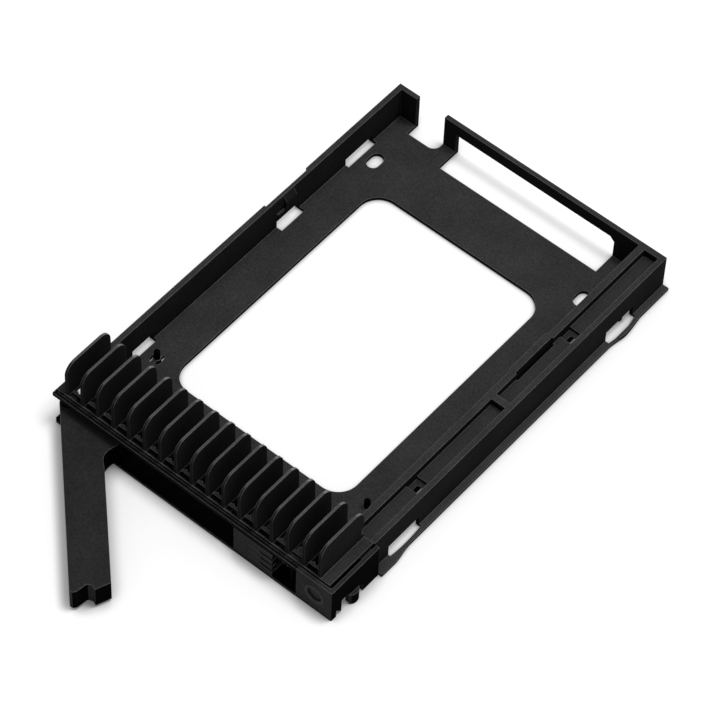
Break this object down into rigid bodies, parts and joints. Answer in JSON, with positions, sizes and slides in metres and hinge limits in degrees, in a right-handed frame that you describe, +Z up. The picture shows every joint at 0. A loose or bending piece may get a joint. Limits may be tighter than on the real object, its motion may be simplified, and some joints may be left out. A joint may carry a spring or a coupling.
{
  "type": "solid state drive mobile rack",
  "caption": "Open tray for a 2.5 inch drive with a finned front housing, a swing-out lever, a sliding catch and a round indicator",
  "frame": {"origin": "On the underside, midway between the two rear drive holes", "axes": "+X to the right along the front bezel seen from the front, +Y to the rear toward the connector opening, +Z up"},
  "size_m": [0.0817, 0.154, 0.0207],
  "materials": {
    "carrier_black": "fine even grain, moulded",
    "housing_black": "fine even grain, moulded",
    "cover_black": "smooth, matt",
    "bezel_black": "fine even grain, moulded",
    "lever_black": "fine even grain, moulded",
    "slider_black": "fine even grain, moulded",
    "ring_black": "satin",
    "smoked_lens": "smoked, polished",
    "pin_steel": "ground",
    "spring_steel": "drawn wire",
    "screw_steel": "blackened"
  },
  "bodies": {
    "carrier": {"tray": "carrier_black", "fin_housing": "housing_black", "base_cover": "cover_black", "bezel": "bezel_black", "lever_pin": "pin_steel", "slider_spring": "spring_steel", "indicator_ring": "ring_black", "light_guide": "smoked_lens", "housing_screws": "screw_steel", "cover_screw": "screw_steel"},
    "lever": {"eject_lever": "lever_black", "lever_spring": "spring_steel"},
    "catch": {"release_slider": "slider_black"}
  },
  "joints": [
    {"name": "lever_swing", "type": "hinge", "parent": "carrier", "child": "lever", "pos_m": [-0.03423, -0.1018, 0.004], "axis": [0, 0, 1], "range_deg": [0, 45], "stiffness_Nm_per_rad": 0.004},
    {"name": "catch_slide", "type": "slide", "parent": "carrier", "child": "catch", "axis": [1, 0, 0], "range_m": [-0.0006, 0.0024], "stiffness_N_per_m": 80, "springref_m": -0.0006, "deforming": ["slider_spring"]}
  ]
}
